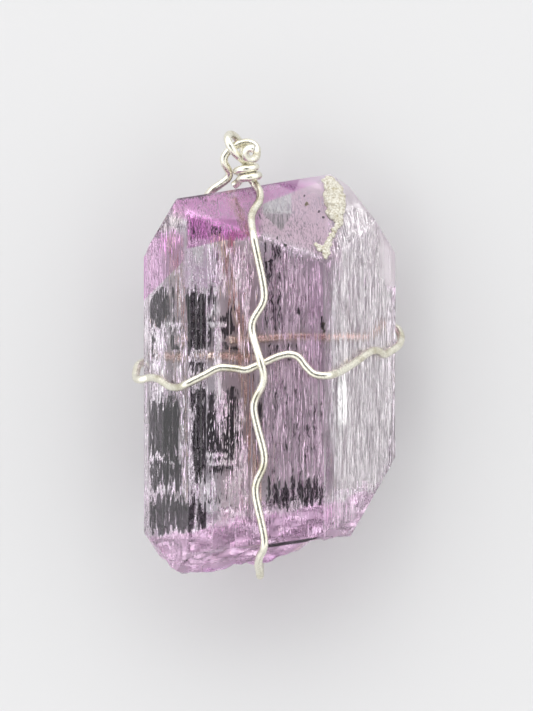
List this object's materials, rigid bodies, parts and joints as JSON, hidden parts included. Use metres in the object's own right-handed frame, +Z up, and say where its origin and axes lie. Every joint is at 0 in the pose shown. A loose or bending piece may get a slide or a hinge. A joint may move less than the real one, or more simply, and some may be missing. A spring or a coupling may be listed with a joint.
{
  "type": "wire-wrapped crystal",
  "caption": "Clear lilac striated crystal with sloping end faces and a rough base, held in a cage of kinked silver wire that ends in small rings.",
  "frame": {"origin": "under the middle of the part's footprint, on the surface it lies on", "axes": "+Z up out of the crystal's front face, +Y along the crystal towards the wire's rings, +X across it to the right when seen from above with the rings away from the viewer"},
  "size_m": [0.0219, 0.0358, 0.0133],
  "materials": {
    "crystal": "clear, striated",
    "crust": "rough mineral crust",
    "wire": "bright silver wire"
  },
  "bodies": {
    "root": {"crystal": "crystal", "matrix_crust": "crust", "long_wire": "wire", "waist_wire": "wire"}
  },
  "joints": []
}
